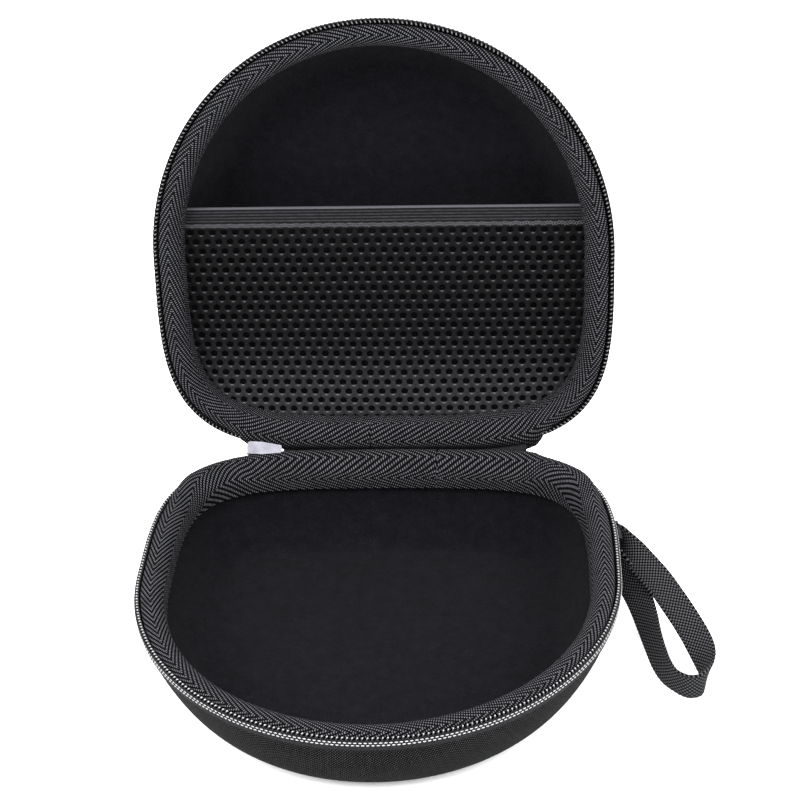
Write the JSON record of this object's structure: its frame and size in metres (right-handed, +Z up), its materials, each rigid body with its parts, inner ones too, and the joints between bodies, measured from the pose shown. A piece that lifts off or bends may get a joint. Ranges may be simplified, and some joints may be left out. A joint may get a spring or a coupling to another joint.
{
  "type": "headphone carrying case",
  "caption": "Hard clamshell case for folded headphones: fabric-covered foam shells, coil zip round the rim, mesh pocket in the lid and a wrist strap.",
  "frame": {"origin": "middle of the flat underside of the base, where the case rests", "axes": "+Z up, +X to the right across the case, -Y towards the front edge that opens; the hinge line runs along X at the back"},
  "size_m": [0.2387, 0.2653, 0.2326],
  "materials": {
    "outer_fabric": "plain-woven polyester, matt, fine raised dot weave",
    "foam": "matt closed-cell moulded foam, hidden inside the wall",
    "lining": "short brushed fleece, very matt",
    "binding": "herringbone twill tape, slight sheen on the threads",
    "zip_tape": "dense plain tape, matt",
    "zip_coil": "smooth nylon monofilament with small highlights",
    "netting": "knitted mesh with round holes",
    "elastic": "ribbed woven elastic, satin",
    "webbing": "basket-weave polyester webbing",
    "metal": "bright nickel plate, softly polished"
  },
  "bodies": {
    "base": {"base_outer_fabric": "outer_fabric", "base_foam_core": "foam", "base_lining": "lining", "base_binding_tape": "binding", "base_zip_tape": "zip_tape", "base_zip_coil": "zip_coil", "hinge_strip": "zip_tape", "zip_end_stop": "metal", "strap_anchor": "webbing", "wrist_strap": "webbing"},
    "lid": {"lid_outer_fabric": "outer_fabric", "lid_foam_core": "foam", "lid_lining": "lining", "lid_binding_tape": "binding", "lid_zip_tape": "zip_tape", "lid_zip_coil": "zip_coil", "pocket_mesh": "netting", "pocket_hem": "netting", "pocket_elastic": "elastic"},
    "slider": {"slider_body": "metal", "slider_crown": "metal"},
    "pull": {"zip_pull": "metal"}
  },
  "joints": [
    {"name": "lid_hinge", "type": "hinge", "parent": "base", "child": "lid", "pos_m": [0, 0.097, 0.042], "axis": [-1, 0, 0], "range_deg": [-100.4, 49.6], "deforming": ["hinge_strip"]},
    {"name": "slider_tilt", "type": "hinge", "parent": "base", "child": "slider", "pos_m": [0, 0.097, 0.042], "axis": [-1, 0, 0], "range_deg": [-50.2, 24.8]},
    {"name": "pull_swing", "type": "hinge", "parent": "slider", "child": "pull", "pos_m": [-0.05604, 0.09719, 0.04177], "axis": [0, 0.7683, 0.6401], "range_deg": [-42, 99]}
  ],
  "couplings": [
    {"joint": "slider_tilt", "follows": "lid_hinge", "ratio": 0.5}
  ]
}
